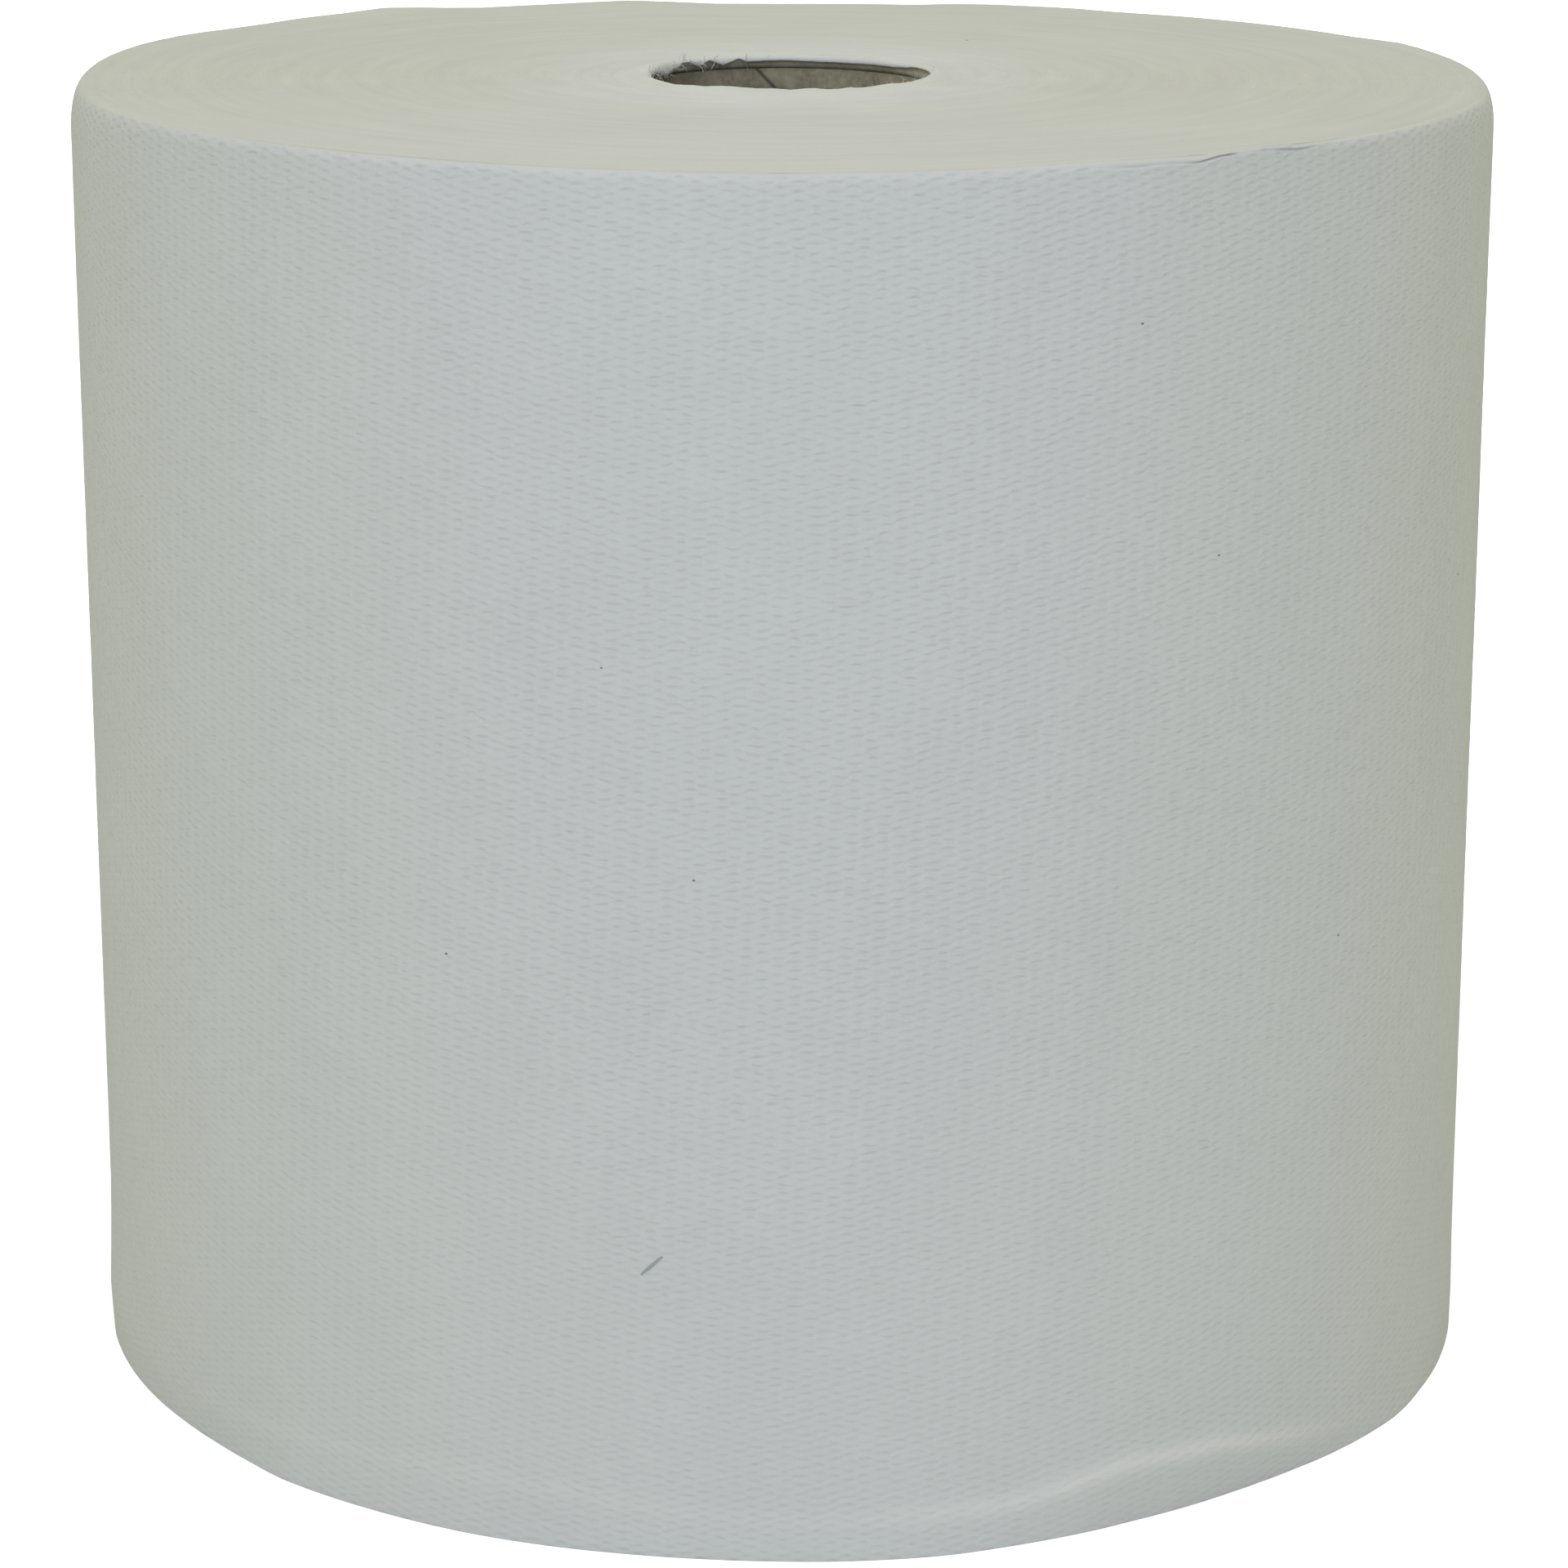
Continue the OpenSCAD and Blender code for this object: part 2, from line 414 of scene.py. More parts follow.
tuckBulge = [(-180, 0.3), (-100, 0.5), (-85, 1.0), (-75, 0.9), (-60, 0.3), (-40, 0.4), (-28, 0.5),
             (-22, 0.7), (-17, 0.6), (-8, 0.6), (4, 0.9), (17, 1.4), (27, 1.5), (36, 1.4),
             (44, 1.1), (50, 0.6), (60, 0.5), (75, 0.4), (180, 0.3)]
tuckFade = [(-180, 16), (-28, 16), (-23, 6), (-17, 6), (-10, 14), (2, 12), (9, 4.5), (17, 3),
            (36, 3), (44, 4), (52, 12), (180, 16)]  # how fast the bulge ends above the tuck
tuckPaintedHighlight = [(-180, 0), (-60, 0), (-45, 0.25), (-10, 0.3), (4, 0.35), (12, 0.65), (27, 1.0),
              (36, 1.0), (44, 0.8), (52, 0.2), (60, 0), (180, 0)]  # how strong the painted highlight on its crest is
foldGap = [(-180, 1.3), (18, 1.3), (24, 1.5), (26, 1.4), (28, 1.0), (31, 0.9), (33, 0.5),
           (34.6, 0.4), (36, 0.6), (38.5, 1.2), (40.5, 1.15), (42.5, 0.7), (180, 0.6)]  # how far below the rim the fold opens
foldOpen = [(-180, 0), (23, 0), (25, 0.12), (26.5, 0.22), (28, 0.1), (30, 0.15), (31, 0.4),
            (32, 0.8), (34.4, 0.9), (34.9, 0), (38.3, 0), (39.2, 0.4), (41.5, 0.45), (42.4, 0),
            (180, 0)]
foldShare = [(-180, 0), (20, 0), (24.5, 1), (42, 1), (45, 0), (180, 0)]  # where the rim has this other section
foldRise = [(-180, 0), (24, 0.05), (27, -0.05), (29.3, -0.13), (31.5, -0.42), (33.4, 0.15),
            (35.3, 0.2), (37.9, 0.75), (39.2, 0.6), (41.4, 0.1), (43.7, 0), (180, 0)]  # how far its lip stands above the rim


def readTable(table, phi, unit=mm):
    return np.interp(np.degrees(phi), [a for a, b in table], [b for a, b in table]) * unit


def webRadius(phi):  # a true spiral: one turn thicker after a full turn
    return rollRadius + web["swell"] + web["turnThickness"] * (phi / (2 * math.pi) - 0.5)


def endShift(phi, radius):  # the upper end isn't quite flat towards the rim
    share = np.clip((radius - web["lipOuter"]) / (rollRadius - web["lipOuter"]), 0, 1)
    return readTable(rimLine, phi) * share ** 3


def rimDrop(phi, radius):  # how far the rounded rim lies below the end at this radius
    inward = readTable(rimInward, phi)
    share = np.clip(1 - (webRadius(phi) - radius) / inward, 0, 1)
    return readTable(rimDown, phi) * (1 - np.sqrt(1 - share ** 2))


def creaseDepth(phi, z):
    depth = 0.0
    u = math.degrees(phi)
    scale = rollRadius / mm * math.pi / 180
    for (u0, z0), (u1, z1), width, deep in webCreases:
        if not min(u0, u1) - 8 < u < max(u0, u1) + 8:
            continue
        a = Vector((u0 * scale, z0))
        b = Vector((u1 * scale, z1))
        p = Vector((u * scale, z / mm))
        t = (p - a).dot(b - a) / (b - a).length_squared
        away = (p - a - (b - a) * t).length
        ends = max(0.0, 1 - (2 * t - 1) ** 2) if 0 < t < 1 else 0.0
        depth += deep * mm * ends * math.exp(-(away / width) ** 2)
    return depth


def wallOffset(phi, z):
    # slow unevenness of a soft roll, then small level wrinkles, then the creases
    x, y = math.sin(phi), -math.cos(phi)
    slow = noise.noise(Vector((x * 3.1, y * 3.1, z * 14 + 4.0)))
    level = noise.noise(Vector((x * 9.0, y * 9.0, z * 120 + 9.0)))
    small = noise.noise(Vector((x * 26.0, y * 26.0, z * 160)))
    return web["unevenness"] * slow + web["wrinkle"] * (level + 0.6 * small) - creaseDepth(phi, z)


# The loose inner turns make an uneven ring that leans over the core. Angles in degrees, the rest in mm.
lipInner = [(-180, 36.8), (-130, 36.5), (-110, 35.0), (-90, 34.2), (-70, 34.8), (-50, 36.2),
            (0, 36.3), (50, 36.8), (70, 38.2), (90, 39.2), (110, 38.6), (130, 37.2), (180, 36.8)]
lipCrest = [(-180, 0.65), (-100, 0.7), (-75, 0.6), (-61, 0.74), (-52, 0.67), (-46, 0.52),
            (-37, 0.85), (-32, 0.81), (-24, 1.22), (-19, 1.21), (-9, 0.92), (-3, 0.97), (3.5, 0.63),
            (7, 0.82), (11, 0.94), (14, 0.88), (18, 0.51), (23, 0.53), (28, 0.74), (31, 0.5),
            (36, 0.48), (43, 0.72), (48, 0.77), (52, 0.56), (57, 0.45), (62, 0.42), (69, 0.6),
            (80, 0.75), (100, 0.65), (180, 0.65)]
lipHem = [(-180, -0.6), (-165, -0.85), (-161.5, 0.1), (-158, -0.8), (-154.5, -1.4), (-151.5, -0.7),
          (-148, 0.1), (-144, -1.2), (-141, -1.0), (-137, 0.15), (-133, -0.1), (-130.5, -1.4),
          (-127.5, -1.0), (-123.5, -2.1), (-119, -2.1), (-115, -1.7), (-108, -0.8), (-90, -0.8),
          (90, 0.1), (101, 0.2), (113, 0.0), (119, -0.4), (124, -0.7), (150, -0.9), (165, -0.85),
          (180, -0.6)]


def ragged(phi, rounds, seed):
    return np.array([noise.noise(Vector((math.cos(a) * rounds, math.sin(a) * rounds, seed))) for a in phi])


def webRows(phi):
    one = np.ones_like(phi)
    rows = []  # each row: radius, height, share of wall finish

    def row(radius, z, wall=0.0):
        rows.append((radius * one, z * one, wall * one))

    seat = coreOuter + web["coreGap"]
    hole, lipOut = web["hole"], web["lipOuter"]
    top = webHeight - web["valleyDepth"]
    base = web["valleyDepth"]
    radius = webRadius(phi)
    # lower hem and lower end
    row(seat, coreRecess - web["coreGap"])
    row(hole + 0.2 * mm, coreRecess - web["coreGap"])
    row(hole - 0.1 * mm, 2.6 * mm)
    for t in np.linspace(0, 1, 5):
        row(hole + t * 2.6 * mm, 1.5 * mm * (1 - t) ** 2)
    row(lipOut - 1.5 * mm, 0.0)
    row(lipOut, base)
    reach = readTable(footReach, phi) + web["footSpread"]
    for t in np.linspace(0, 1, 12)[1:]:
        row(lipOut + (reach - 0.6 * mm - lipOut) * t, base)
    row(reach - 0.3 * mm, 0.0)
    row(reach - 0.06 * mm, 0.07 * mm, 0.7)
    row(reach, 0.3 * mm, 1.0)
    # the tuck: the wall bulges a little, then slopes straight to the foot
    tuck = readTable(tuckLine, phi)
    bulge = readTable(tuckBulge, phi)
    fade = readTable(tuckFade, phi)
    for t in np.linspace(0, 1, 8)[1:]:
        row(reach + (radius + bulge - reach) * t, 0.3 * mm + (tuck - 0.3 * mm) * t, 1.0)
    for step in (0.8, 1.6, 2.5, 3.5, 5, 7, 10, 14, 19, 25):
        row(radius + bulge * np.exp(-(step * mm / fade) ** 1.4), tuck + step * mm, 1.0)
    # the wall
    inward, down = readTable(rimInward, phi), readTable(rimDown, phi)
    share = readTable(foldShare, phi, 1.0)
    gap = readTable(foldGap, phi)
    opened = readTable(foldOpen, phi, 1.0)
    low, high = tuck + 25 * mm, webHeight - down - np.maximum(gap + 2.4 * mm - down, 0) * share
    for t in np.linspace(0, 1, web["wallRows"])[1:]:
        row(radius, low + (high - low) * t, 1.0)
    # the upper rim, rounded, but with a gap under its edge where the outer turn has slipped down
    rise = readTable(foldRise, phi)
    lip = np.clip(np.degrees(phi) - 36.5, 0, 1)  # past this angle the outer turn is the lip
    section = [  # inwards and below the rim in mm, then the finish before and past that angle
        (0 * one, gap / mm + 1.6, 1.0, 1.0),
        (-0.08 * one, gap / mm + 0.75, 1.0, 1.0),
        (0.05 * one, gap / mm + 0.42, 1.0, 1.0),
        (0.10 + 0.80 * opened, gap / mm + 0.30, 0.4, 1.0),
        (0.15 + 0.75 * opened, gap / mm + 0.05, 0.0, 1.0),
        (0.15 - 0.13 * lip, gap / mm - 0.15 - 0.05 * lip, 0.0, 1.0),
        (0.25 - 0.12 * lip, gap / mm * (0.45 + 0.25 * lip), 0.0, 1.0),
        (0.55 + 0.10 * lip, np.minimum(gap / mm, 1.0) * 0.2 * (1 - lip), 0.0, 1.0),
        (0.95 - 0.05 * lip, 0.12 * (1 - lip), 0.0, 0.6),
        (1.60 * one, 0.12 * one, 0.0, 0.0)]
    for k, (inFold, belowFold, wallFold, lipFold) in enumerate(section):
        a = (k + 1) / len(section) * math.pi / 2
        roundIn = inward * (1 - math.cos(a))
        roundBelow = down * (1 - math.sin(a)) + base * (k / 9) ** 2
        finish = 1.0 - k / 9
        lift = rise * (1.0 if k < 7 else (9 - k) / 3)
        row(radius - roundIn - (inFold * mm - roundIn) * share,
            webHeight - roundBelow - (belowFold * mm - roundBelow) * share + lift,
            finish + (wallFold + (lipFold - wallFold) * lip - finish) * share)
    # upper end, with the loose ring round the hole
    inset = radius - inward
    for t in np.linspace(0, 1, 26)[1:]:
        row(inset + (lipOut - inset) * t, top)
    row(lipOut - 0.4 * mm, top - 0.3 * mm)
    fray = 0.10 * mm * ragged(phi, 14, 3.0) + 0.07 * mm * ragged(phi, 33, 8.0)
    hemIn = readTable(lipInner, phi) + 0.5 * fray
    crest = hemIn + web["lipWide"]
    rise = readTable(lipCrest, phi) + 0.6 * fray
    hem = readTable(lipHem, phi) + fray
    for t in np.linspace(0, 1, 12)[1:]:
        folds = 0.10 * mm * ragged(phi + 0.3 * t, 9, 5.0 * t) * math.sin(math.pi * t)
        row(lipOut - 0.4 * mm - (lipOut - 0.4 * mm - crest) * t,
            webHeight - 0.5 * mm + (rise + 0.5 * mm) * (1 - (1 - t) ** 2.2) + folds)
    for t in np.linspace(0, 1, 10)[1:]:
        a = t * math.pi / 2
        row(crest - web["lipWide"] * math.sin(a), webHeight + rise - (rise - hem) * (1 - math.cos(a)))
    under = np.minimum(hem - 0.2 * mm, rise - 1.2 * mm)
    row(hemIn + 0.3 * web["hemThickness"], webHeight + hem - 0.2 * mm)
    row(hemIn + 0.8 * web["hemThickness"], webHeight + hem - 0.15 * mm)
    row(hemIn + web["hemThickness"] + 0.2 * mm, webHeight + under + 0.05 * mm)
    row(np.maximum(hole + 0.2 * mm, hemIn + 1.1 * mm), webHeight - 1.9 * mm)
    row(np.maximum(hole + 1.2 * mm, hemIn + 1.3 * mm), webHeight - coreRecess + web["coreGap"])
    row(seat, webHeight - coreRecess + web["coreGap"])
    for t in (0.75, 0.5, 0.25):
        row(seat, coreRecess + (webHeight - 2 * coreRecess) * t)
    return rows


def makeWeb():
    edgeStep = 0.05 * mm / rollRadius
    even = np.linspace(-180, 180, web["columns"] + 1)[1:]
    close = np.arange(20.0, 44.0, 0.3)  # the columns stand closer together at the fold
    spread = np.sort(np.concatenate([even[(even < 19.8) | (even > 44.1)], close]))
    phi = np.concatenate([[-math.pi + edgeStep], np.radians(spread)])
    rows = webRows(phi)
    radius = np.array([r[0] for r in rows])
    z = np.array([r[1] for r in rows])
    wall = np.array([r[2] for r in rows])
    angle = np.tile(phi, (len(rows), 1))
    # the free edge at the back isn't quite straight, and lifts a little
    wanders, lifts = web["tailReach"]
    nearEdge = np.clip(1 - (math.pi - np.abs(angle)) / wanders, 0, 1) ** 2
    drift = np.array([noise.noise(Vector((0.0, 0.0, h * 18))) for h in z[:, 0]]) * web["tailDrift"] / rollRadius
    angle = angle + nearEdge * drift[:, None]
    lift = np.clip(1 - (math.pi - phi) / lifts, 0, 1) ** 2
    radius = radius + wall * lift * web["tailLift"]
    for j in range(len(rows)):
        for i in range(len(phi)):
            if wall[j, i] > 0:
                radius[j, i] += wall[j, i] * wallOffset(float(phi[i]), float(z[j, i]))
    shiftLow = webHeight * web["shiftFrom"]
    z = z + np.maximum(z - shiftLow, 0) / (webHeight - shiftLow) * endShift(angle, radius)
    x = radius * np.sin(angle)
    y = -radius * np.cos(angle)
    points = np.stack([x, y, z], axis=-1).reshape(-1, 3)
    wide = len(phi)
    faces = []
    for j in range(len(rows)):
        below = j * wide
        above = (j + 1) % len(rows) * wide
        for i in range(wide):
            k = (i + 1) % wide
            faces.append((below + i, below + k, above + k, above + i))
    mesh = bpy.data.meshes.new("wound_web")
    mesh.from_pydata(points.tolist(), [], faces)
    # the painted highlight lies along the crest of the tuck
    paintedHighlight = readTable(tuckPaintedHighlight, phi, 1.0) * hill(z, readTable(tuckLine, phi) + 0.3 * mm, 2.6 * mm) * wall
    addValues(mesh, "wallMask", wall)
    addValues(mesh, "paintedHighlight", paintedHighlight)
    uvLayer = mesh.uv_layers.new(name="clothUV")
    arc = np.append(phi, phi[-1] + edgeStep) * rollRadius
    uv = np.empty((len(faces), 4, 2), np.float32)
    for j in range(len(rows)):
        low, high = z[j], z[(j + 1) % len(rows)]
        part = uv[j * wide:(j + 1) * wide]
        part[:, 0, 0] = part[:, 3, 0] = arc[:-1]
        part[:, 1, 0] = part[:, 2, 0] = arc[1:]
        part[:, 0, 1], part[:, 1, 1] = low, np.roll(low, -1)
        part[:, 2, 1], part[:, 3, 1] = np.roll(high, -1), high
    uvLayer.uv.foreach_set("vector", uv.reshape(-1))
    mesh.update()
    mesh.polygons.foreach_set("use_smooth", [True] * len(faces))
    mesh.materials.append(wallMaterial)
    mesh.materials.append(endMaterial)
    mesh.materials.append(underHemMaterial)
    corners = wall + np.roll(wall, -1, 0) + np.roll(wall, -1, 1) + np.roll(np.roll(wall, -1, 0), -1, 1)
    finish = (corners < 1.2).astype(np.int32)
    # the last rows, under the hem, take the brown finish
    finish[-web["underHemRows"]:] = 2
    mesh.polygons.foreach_set("material_index", finish.reshape(-1))
    return finishPiece(addObject("wound_web", mesh), "web", "wiper_roll")


woundWeb = makeWeb()
print("wound web made,", len(woundWeb.data.polygons), "faces")


# The cut edges of all turns, on both ends: one spiral ridge with the true thickness of a turn

turnEdges = {
    "Turn thickness": web["turnThickness"],
    "Inner radius": web["lipOuter"] + 0.5 * mm,
    "Outer radius": rollRadius - 2.4 * mm,
    "Edge height": web["valleyDepth"],
    "Points per turn": 96,
    "Streak height": 0.15 * mm,
    "Streaks round": 1.6,
    "Streaks outwards": 210.0,
}


def makeTurnTree():
    tree, start, end = newGroup("windTurns", "GeometryNodeTree", [
        ("Geometry", "NodeSocketGeometry", None),
        ("Turn thickness", "NodeSocketFloat", 0.54 * mm),
        ("Inner radius", "NodeSocketFloat", 45 * mm),
        ("Outer radius", "NodeSocketFloat", 184 * mm),
        ("Edge height", "NodeSocketFloat", 0.25 * mm),
        ("Points per turn", "NodeSocketInt", 96),
        ("Streak height", "NodeSocketFloat", 0.2 * mm),
        ("Streaks round", "NodeSocketFloat", 1.6),
        ("Streaks outwards", "NodeSocketFloat", 210.0),
        ("Material", "NodeSocketMaterial", None)],
        [("Geometry", "NodeSocketGeometry")])
    sizes = start.outputs
    span = maths(tree, "SUBTRACT", sizes["Outer radius"], sizes["Inner radius"])
    spiral = addNode(tree, "GeometryNodeCurveSpiral", Resolution=sizes["Points per turn"],
                     Rotations=maths(tree, "DIVIDE", span, sizes["Turn thickness"]),
                     Start_Radius=sizes["Inner radius"], End_Radius=sizes["Outer radius"], Height=0.0)
    profile = addNode(tree, "GeometryNodeCurvePrimitiveQuadrilateral", {"mode": "KITE"})
    plug(tree, profile.inputs["Width"], sizes["Turn thickness"])
    plug(tree, profile.inputs["Bottom Height"], sizes["Edge height"])  # this side comes out on top
    plug(tree, profile.inputs["Top Height"], sizes["Edge height"])
    ridge = addNode(tree, "GeometryNodeCurveToMesh", Curve=spiral.outputs[0], Profile_Curve=profile.outputs[0])
    ridge.inputs["Fill Caps"].default_value = True
    position = addNode(tree, "GeometryNodeInputPosition").outputs[0]
    place = alongTurns(tree, position, sizes["Streaks round"], sizes["Streaks outwards"])
    streak = addNode(tree, "ShaderNodeTexNoise", Vector=place, Scale=1.0, Detail=2.0)
    rise = maths(tree, "MULTIPLY", maths(tree, "SUBTRACT", streak.outputs[0], 0.5), sizes["Streak height"])
    moved = addNode(tree, "GeometryNodeSetPosition", Geometry=ridge.outputs[0],
                    Offset=combine(tree, 0.0, 0.0, rise))
    real = addNode(tree, "GeometryNodeRealizeInstances", Geometry=moved.outputs[0])
    done = addNode(tree, "GeometryNodeSetMaterial", Geometry=real.outputs[0], Material=sizes["Material"])
    plug(tree, end.inputs[0], done.outputs[0])
    return tree


turnTree = makeTurnTree()


def makeTurnEdges(name, face):
    piece = addObject(name, bpy.data.meshes.new(name))
    made = runNodes(piece, turnTree, dict(turnEdges, Material=endMaterial))
    mesh = made.data
    place = np.empty(len(mesh.vertices) * 3, np.float64)
    mesh.vertices.foreach_get("co", place)
    place = place.reshape(-1, 3)
    phi = np.arctan2(place[:, 0], -place[:, 1])
    radius = np.hypot(place[:, 0], place[:, 1])
    if face == "top":
        place[:, 2] += webHeight - web["valleyDepth"] + endShift(phi, radius) - rimDrop(phi, radius)
    else:
        place[:, 2] = np.maximum(web["valleyDepth"] - place[:, 2], 0)
        mesh.flip_normals()
    mesh.vertices.foreach_set("co", place.reshape(-1))
    mesh.polygons.foreach_set("use_smooth", [False] * len(mesh.polygons))
    mesh.update()
    return finishPiece(made, "web")


topEdges = makeTurnEdges("turn_edges_top", "top")
baseEdges = makeTurnEdges("turn_edges_base", "base")
print("turn edges made,", len(topEdges.data.polygons), "faces on each end")


# Loose fibres stand out of the torn inner turns, mostly at the far left of the hole

lipFibres = {
    "Strands per place": 5,
    "Seed": 11,
    "Share": 0.7,
    "Spread": 0.45 * mm,
    "Shortest": 0.6 * mm,
    "Longest": 2.6 * mm,
    "Thinness": 0.03,  # half thickness as a share of the length
}


def makeFibreTree():
    tree, start, end = newGroup("scatterFibres", "GeometryNodeTree", [
        ("Geometry", "NodeSocketGeometry", None),
        ("Strands per place", "NodeSocketInt", 4),
        ("Seed", "NodeSocketInt", 1),
        ("Share", "NodeSocketFloat", 0.5),
        ("Spread", "NodeSocketFloat", 0.5 * mm),
        ("Shortest", "NodeSocketFloat", 1 * mm),
        ("Longest", "NodeSocketFloat", 3 * mm),
        ("Thinness", "NodeSocketFloat", 0.03),
        ("Material", "NodeSocketMaterial", None)],
        [("Geometry", "NodeSocketGeometry")])
    given = start.outputs
    places = addNode(tree, "GeometryNodeMeshToPoints", Mesh=given["Geometry"], Radius=0.0)
    many = addNode(tree, "GeometryNodeDuplicateElements", {"domain": "POINT"}, Geometry=places.outputs[0],
                   Amount=given["Strands per place"])
    shift = addNode(tree, "FunctionNodeRandomValue", {"data_type": "FLOAT_VECTOR"}, Seed=given["Seed"])
    shift.inputs["Min"].default_value = (-1, -1, -0.5)
    shift.inputs["Max"].default_value = (1, 1, 1)
    moved = addNode(tree, "GeometryNodeSetPosition", Geometry=many.outputs[0])
    scaled = tree.nodes.new("ShaderNodeVectorMath")
    scaled.operation = "SCALE"
    plug(tree, scaled.inputs[0], shift.outputs[0])
    plug(tree, scaled.inputs["Scale"], given["Spread"])
    plug(tree, moved.inputs["Offset"], scaled.outputs[0])
    strand = addNode(tree, "GeometryNodeCurveQuadraticBezier", Resolution=5)
    strand.inputs["Start"].default_value = (0, 0, 0)
    strand.inputs["Middle"].default_value = (0.5, 0.45, 0.1)
    strand.inputs["End"].default_value = (1, 0.1, 0.2)
    section = addNode(tree, "GeometryNodeCurvePrimitiveCircle", Resolution=3, Radius=given["Thinness"])
    tube = addNode(tree, "GeometryNodeCurveToMesh", Curve=strand.outputs[0], Profile_Curve=section.outputs[0])
    tube.inputs["Fill Caps"].default_value = True
    loose = addNode(tree, "GeometryNodeInputNamedAttribute", {"data_type": "FLOAT"}, Name="looseness")
    pick = addNode(tree, "FunctionNodeRandomValue", {"data_type": "BOOLEAN"},
                   Seed=maths(tree, "ADD", given["Seed"], 1.0))
    plug(tree, pick.inputs["Probability"], maths(tree, "MULTIPLY", loose.outputs[0], given["Share"]))
    spin = addNode(tree, "FunctionNodeRandomValue", {"data_type": "FLOAT_VECTOR"},
                   Seed=maths(tree, "ADD", given["Seed"], 2.0))
    spin.inputs["Max"].default_value = (2 * math.pi, 2 * math.pi, 2 * math.pi)
    grow = addNode(tree, "FunctionNodeRandomValue", {"data_type": "FLOAT"},
                   Seed=maths(tree, "ADD", given["Seed"], 3.0))
    plug(tree, grow.inputs[2], given["Shortest"])
    plug(tree, grow.inputs[3], given["Longest"])
    put = addNode(tree, "GeometryNodeInstanceOnPoints", Points=moved.outputs[0], Instance=tube.outputs[0])
    plug(tree, put.inputs["Selection"], pick.outputs[3])
    plug(tree, put.inputs["Rotation"], spin.outputs[0])
    plug(tree, put.inputs["Scale"], grow.outputs[1])
    real = addNode(tree, "GeometryNodeRealizeInstances", Geometry=put.outputs[0])
    done = addNode(tree, "GeometryNodeSetMaterial", Geometry=real.outputs[0], Material=given["Material"])
    plug(tree, end.inputs[0], done.outputs[0])
    return tree


def makeLipFibres():
    phi = np.linspace(-math.pi, math.pi, 361)[1:]
    degrees = np.degrees(phi)
    inner = readTable(lipInner, phi)
    hem = readTable(lipHem, phi)
    loose = 0.03 + 1.0 * hill(degrees, -122, 26) + 0.25 * hill(degrees, 60, 18)
    points = [onWall(a, r + 0.1 * mm, webHeight + h) for a, r, h in zip(phi, inner, hem)]
    mesh = bpy.data.meshes.new("lip_fibres")
    mesh.from_pydata(points, [], [])
    addValues(mesh, "looseness", loose)
    path = addObject("lip_fibres", mesh)
    pale = makePlainMaterial("looseFibre", 0.9, 0.1, 900.0, 300.0, webFinish["looseDark"], webFinish["looseLight"])
    made = runNodes(path, makeFibreTree(), dict(lipFibres, Material=pale))
    return finishPiece(made, "web")


looseFibres = makeLipFibres()
print("loose fibres made,", len(looseFibres.data.polygons), "faces")


# Small marks in the cloth: dark specks, and one grey fibre caught in the wall

marks = {
    "wallSpecks": [(26.8, 302.3, 0.45), (34.0, 244.6, 0.40), (-6.4, 172.9, 0.40), (-13.1, 223.6, 0.35),
                   (-25.7, 149.5, 0.40), (48.3, 140.8, 0.40), (68.8, 220.3, 0.45)],  # angle, height, size
    "topSpecks": [(-132.2, 98.8, 0.7), (-129.2, 90.6, 0.6), (-103.0, -69.4, 0.5), (51.7, 78.6, 0.5)],  # x, y, size
    "fibre": [(-10.5, 73.1), (-10.2, 74.2), (-9.7, 75.6), (-9.3, 76.9), (-8.9, 78.1)],
    "fibreThickness": 0.34,
    "speckColor": (0.17, 0.18, 0.17, 1),
    "fibreColor": (0.25, 0.27, 0.27, 1),
}


def makeMarkMaterial(name, color):
    lighter = [min(1.0, c * 1.25) for c in color[:3]] + [1]
    return makePlainMaterial(name, 0.85, 0.0, 3000.0, 900.0, color, lighter)


def wallPoint(degrees, height, out=0.0):
    phi = math.radians(degrees)
    z = height * mm
    return Vector(onWall(phi, webRadius(phi) + wallOffset(phi, z) + out, z))


def makeSpecks():
    places = []
    for degrees, height, size in marks["wallSpecks"]:
        phi = math.radians(degrees)
        places.append((wallPoint(degrees, height), Vector((math.sin(phi), -math.cos(phi), 0)), size * mm))
    for x, y, size in marks["topSpecks"]:
        places.append((Vector((x * mm, y * mm, webHeight - 0.05 * mm)), Vector((0, 0, 1)), size * mm))
    builder = bmesh.new()
    for place, normal, size in places:
        turn = normal.to_track_quat("Z", "Y").to_matrix().to_4x4()
        flat = Matrix.Diagonal((size, size * 0.7, 0.10 * mm, 1))
        bmesh.ops.create_icosphere(builder, subdivisions=2, radius=1.0,
                                   matrix=Matrix.Translation(place) @ turn @ flat)
    for vertex in builder.verts:
        vertex.co += 0.05 * mm * noise.noise_vector(vertex.co * 2500)
    mesh = bpy.data.meshes.new("cloth_specks")
    builder.to_mesh(mesh)
    builder.free()
    mesh.materials.append(makeMarkMaterial("darkSpeck", marks["speckColor"]))
    return finishPiece(addObject("cloth_specks", mesh), "web")


